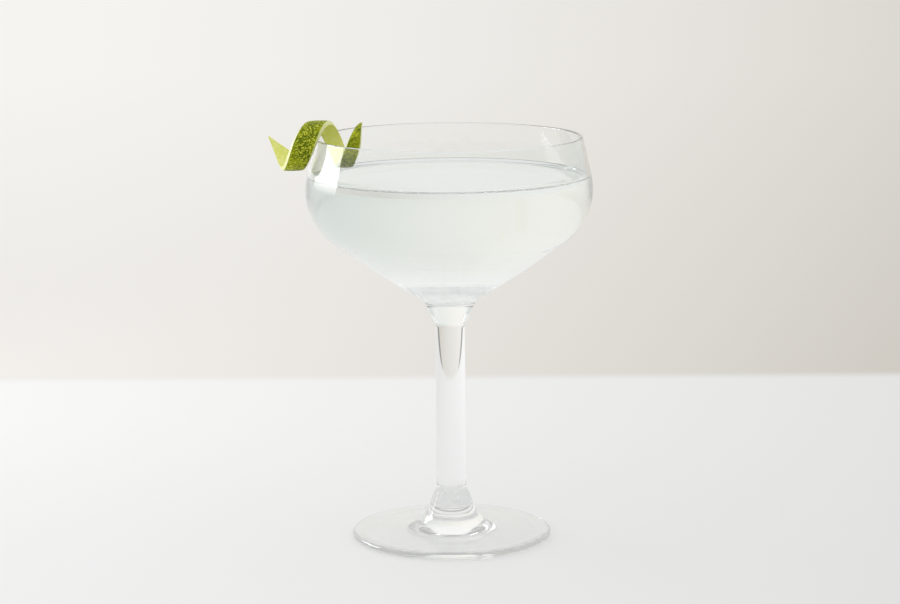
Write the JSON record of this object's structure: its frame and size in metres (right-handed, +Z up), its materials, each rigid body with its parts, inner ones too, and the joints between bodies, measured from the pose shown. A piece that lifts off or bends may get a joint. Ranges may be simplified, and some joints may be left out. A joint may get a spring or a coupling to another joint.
{
  "type": "daiquiri in a coupe glass",
  "caption": "Pale cocktail filled close to the rim of a stemmed coupe glass, with a curled twist of lime peel hung over the rim.",
  "frame": {"origin": "middle of the underside of the foot, on the axis of the glass", "axes": "+Z up along the stem; the lime twist hangs over the rim at -X; -Y is the front"},
  "size_m": [0.1166, 0.1034, 0.1536],
  "materials": {
    "clear_glass": "clear polished glass with a faint green edge",
    "drink": "slightly cloudy pale green-white liquid",
    "lime_peel": "waxy pitted green rind outside, pale yellow-green pith inside"
  },
  "bodies": {
    "root": {"coupe_glass": "clear_glass", "daiquiri_drink": "drink", "lime_twist": "lime_peel"}
  },
  "joints": []
}
